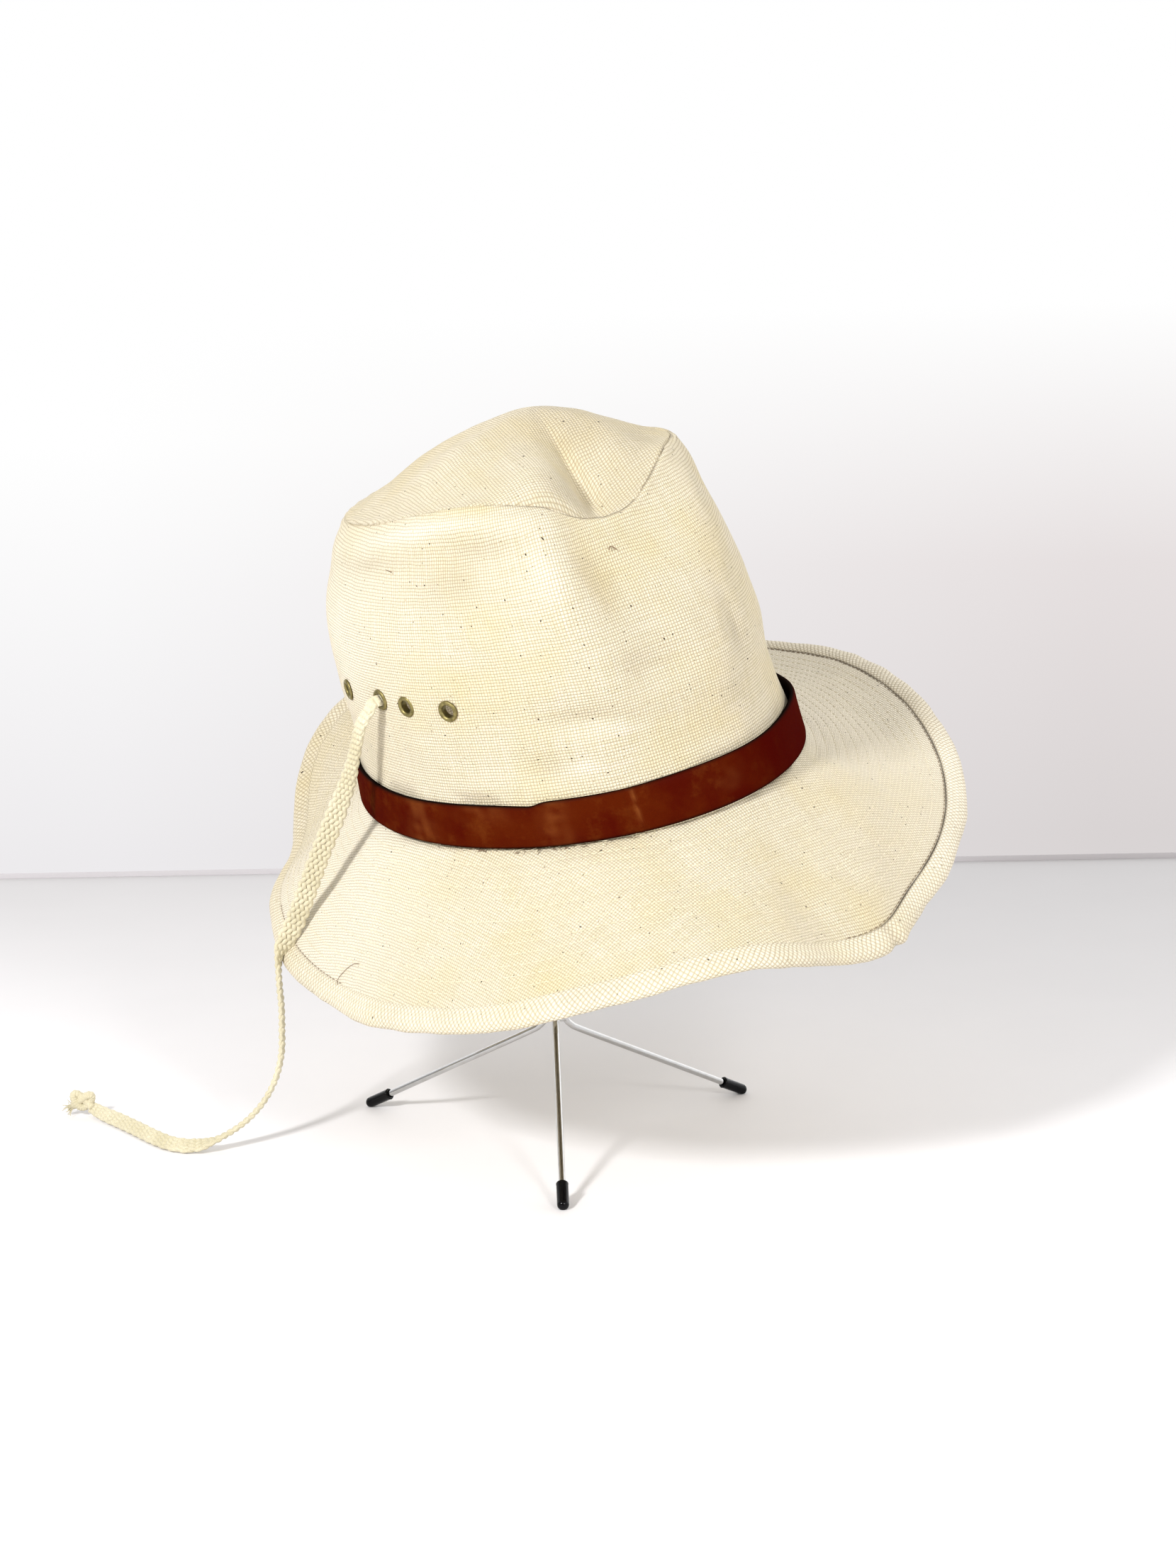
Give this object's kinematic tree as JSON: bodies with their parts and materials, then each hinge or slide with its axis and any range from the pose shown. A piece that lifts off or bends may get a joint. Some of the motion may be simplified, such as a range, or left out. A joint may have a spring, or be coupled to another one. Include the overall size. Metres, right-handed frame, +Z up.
{
  "type": "canvas hat on wire stand",
  "caption": "Wide-brimmed canvas hat with a leather band, eyelets and a chin cord, resting on a three-legged wire stand.",
  "frame": {"origin": "on the floor under the middle of the hat and stand, measured without the cord", "axes": "+Z up, the hat's front towards -Y, its wearer's left towards +X"},
  "size_m": [0.3165, 0.3336, 0.2999],
  "materials": {
    "canvas": "undyed cotton canvas, coarse plain weave with seed flecks",
    "band_leather": "red-brown, polished, dark cut edges",
    "eyelet_brass": "aged, dull",
    "cotton_braid": "undyed flat cotton braid",
    "chromed_wire": "bright plated steel wire",
    "black_vinyl": "dipped, glossy"
  },
  "bodies": {
    "root": {"crown_side": "canvas", "crown_tip": "canvas", "brim": "canvas", "brim_edge": "canvas", "hat_band": "band_leather", "eyelet_right_1": "eyelet_brass", "eyelet_right_2": "eyelet_brass", "eyelet_right_3": "eyelet_brass", "eyelet_right_4": "eyelet_brass", "eyelet_left_1": "eyelet_brass", "eyelet_left_2": "eyelet_brass", "eyelet_left_3": "eyelet_brass", "eyelet_left_4": "eyelet_brass", "chin_cord": "cotton_braid", "cord_end_knot": "cotton_braid", "cord_stop_knot": "cotton_braid", "stand_frame": "chromed_wire", "foot_tip_1": "black_vinyl", "foot_tip_2": "black_vinyl", "foot_tip_3": "black_vinyl"}
  },
  "joints": []
}
